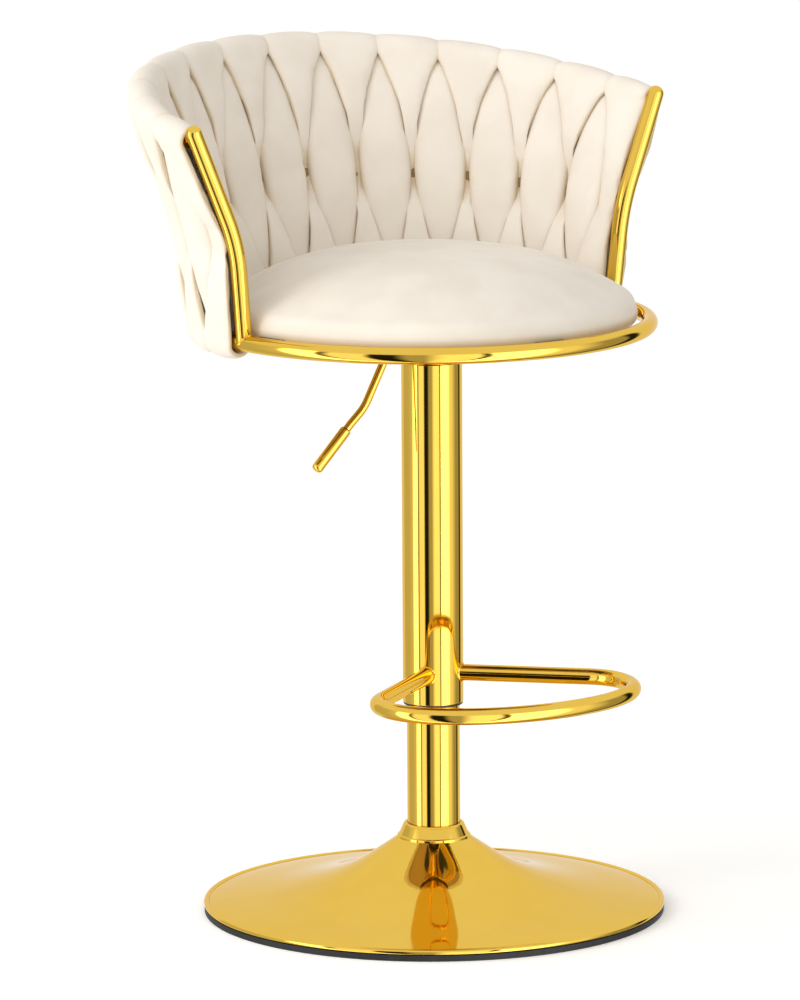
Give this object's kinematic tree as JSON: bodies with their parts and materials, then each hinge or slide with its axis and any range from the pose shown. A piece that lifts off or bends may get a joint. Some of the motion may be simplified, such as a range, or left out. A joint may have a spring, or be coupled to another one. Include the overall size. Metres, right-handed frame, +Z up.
{
  "type": "bar stool",
  "caption": "Height-adjustable swivel bar stool with a woven padded strap back, domed cushion, gas lift with hand lever, hooped footrest and round trumpet base.",
  "frame": {"origin": "foot of the swivel axis on the floor, at the middle of the round base", "axes": "+Z up along the column, +Y towards the backrest, +X to the sitter's left as seen from behind the front edge (viewer's right when facing the stool's front), millimetre model written in metres"},
  "size_m": [0.5272, 0.5098, 0.7762],
  "materials": {
    "gold_plated_steel": "mirror-polished gold plating",
    "bare_steel": "plain zinc-plated",
    "black_steel": "black enamel, satin",
    "black_rubber": "matt",
    "black_nylon": "satin",
    "plywood": "raw birch plywood",
    "cream_velvet": "short-pile cream velvet over foam",
    "tan_webbing": "flat woven tape"
  },
  "bodies": {
    "base": {"base_shell": "gold_plated_steel", "base_plate": "black_steel", "floor_ring": "black_rubber", "base_collar": "gold_plated_steel", "column_tube": "gold_plated_steel", "column_bush": "black_nylon", "bearing_race_lower": "bare_steel", "bearing_balls": "bare_steel"},
    "rod": {"piston_rod": "bare_steel", "piston_head": "bare_steel", "bearing_race_upper": "bare_steel", "rod_clip": "bare_steel", "bump_stop": "black_rubber"},
    "seat": {"lift_tube": "black_steel", "gland_seal": "black_rubber", "footrest_sleeve": "gold_plated_steel", "sleeve_bush": "black_nylon", "footrest_loop": "gold_plated_steel", "lift_plate": "bare_steel", "lift_hub": "bare_steel", "lever_pin": "bare_steel", "plate_bolts": "bare_steel", "frame_bars": "bare_steel", "seat_ring": "gold_plated_steel", "seat_board": "plywood", "seat_cushion": "cream_velvet", "upright_left": "gold_plated_steel", "upright_right": "gold_plated_steel", "top_rail": "bare_steel", "mid_band": "tan_webbing", "back_strap_01": "cream_velvet", "back_strap_02": "cream_velvet", "back_strap_03": "cream_velvet", "back_strap_04": "cream_velvet", "back_strap_05": "cream_velvet", "back_strap_06": "cream_velvet", "back_strap_07": "cream_velvet", "back_strap_08": "cream_velvet", "back_strap_09": "cream_velvet", "back_strap_10": "cream_velvet", "back_strap_11": "cream_velvet", "back_strap_12": "cream_velvet", "back_strap_13": "cream_velvet", "back_strap_14": "cream_velvet", "back_strap_15": "cream_velvet", "back_strap_16": "cream_velvet", "back_strap_17": "cream_velvet", "back_strap_18": "cream_velvet", "back_strap_19": "cream_velvet", "back_strap_20": "cream_velvet", "back_strap_21": "cream_velvet", "back_strap_22": "cream_velvet", "back_strap_23": "cream_velvet", "back_strap_24": "cream_velvet", "back_strap_25": "cream_velvet", "back_strap_26": "cream_velvet", "back_strap_27": "cream_velvet"},
    "lever": {"lever_rod": "gold_plated_steel", "lever_grip": "gold_plated_steel"},
    "button": {"release_button": "bare_steel"}
  },
  "joints": [
    {"name": "swivel", "type": "hinge", "parent": "base", "child": "rod", "pos_m": [0, 0, 0.034], "axis": [0, 0, 1], "continuous": true},
    {"name": "height", "type": "slide", "parent": "rod", "child": "seat", "axis": [0, 0, 1], "range_m": [0, 0.2]},
    {"name": "lever", "type": "hinge", "parent": "seat", "child": "lever", "pos_m": [-0.026, 0, 0.531], "axis": [0, 1, 0], "range_deg": [0, 7], "stiffness_Nm_per_rad": 0.6, "springref_deg": -11.46},
    {"name": "release_button", "type": "slide", "parent": "seat", "child": "button", "axis": [0, 0, -1], "range_m": [0, 0.0033]}
  ],
  "couplings": [
    {"joint": "release_button", "follows": "lever", "m_per_rad": 0.026}
  ]
}
